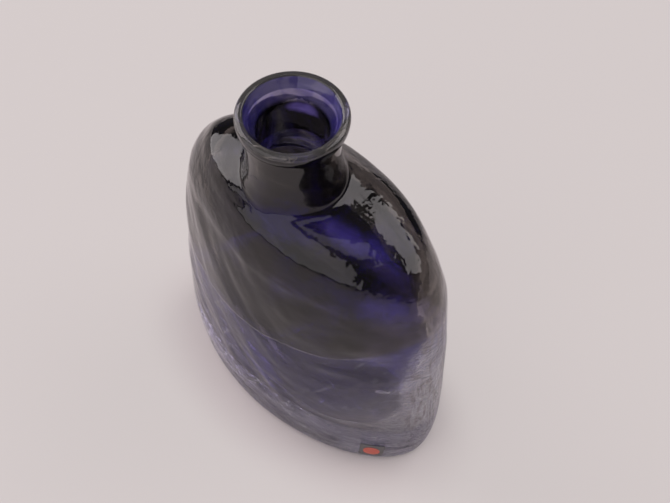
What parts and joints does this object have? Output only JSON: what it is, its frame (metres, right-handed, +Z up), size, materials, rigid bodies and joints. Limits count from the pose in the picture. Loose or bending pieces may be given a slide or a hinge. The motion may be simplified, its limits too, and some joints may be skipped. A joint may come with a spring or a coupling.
{
  "type": "flat glass bottle",
  "caption": "Flat mouth-blown glass bottle with a domed shoulder, an off-centre neck and a rolled lip, dark above and clear at the foot.",
  "frame": {"origin": "middle of the foot's footprint, on the table", "axes": "+X towards the narrow end with the label, +Y towards the broad face at the back, +Z up"},
  "size_m": [0.152, 0.079, 0.192],
  "materials": {
    "clear_glass": "clear colourless glass with a wavy outer face",
    "smoke_glass": "dark smoky glass, glossy on the shoulder and wavy on the wall",
    "violet_glass": "violet-blue glass that fades out towards the foot",
    "neck_glass": "dark violet glass, fire-polished",
    "label_film": "thin clear adhesive film",
    "label_ink": "plain printed patch"
  },
  "bodies": {
    "root": {"base_gather": "clear_glass", "clear_casing": "clear_glass", "smoke_overlay": "smoke_glass", "violet_layer": "violet_glass", "neck": "neck_glass", "lip_ring": "neck_glass", "label_film": "label_film", "label_print": "label_ink"}
  },
  "joints": []
}
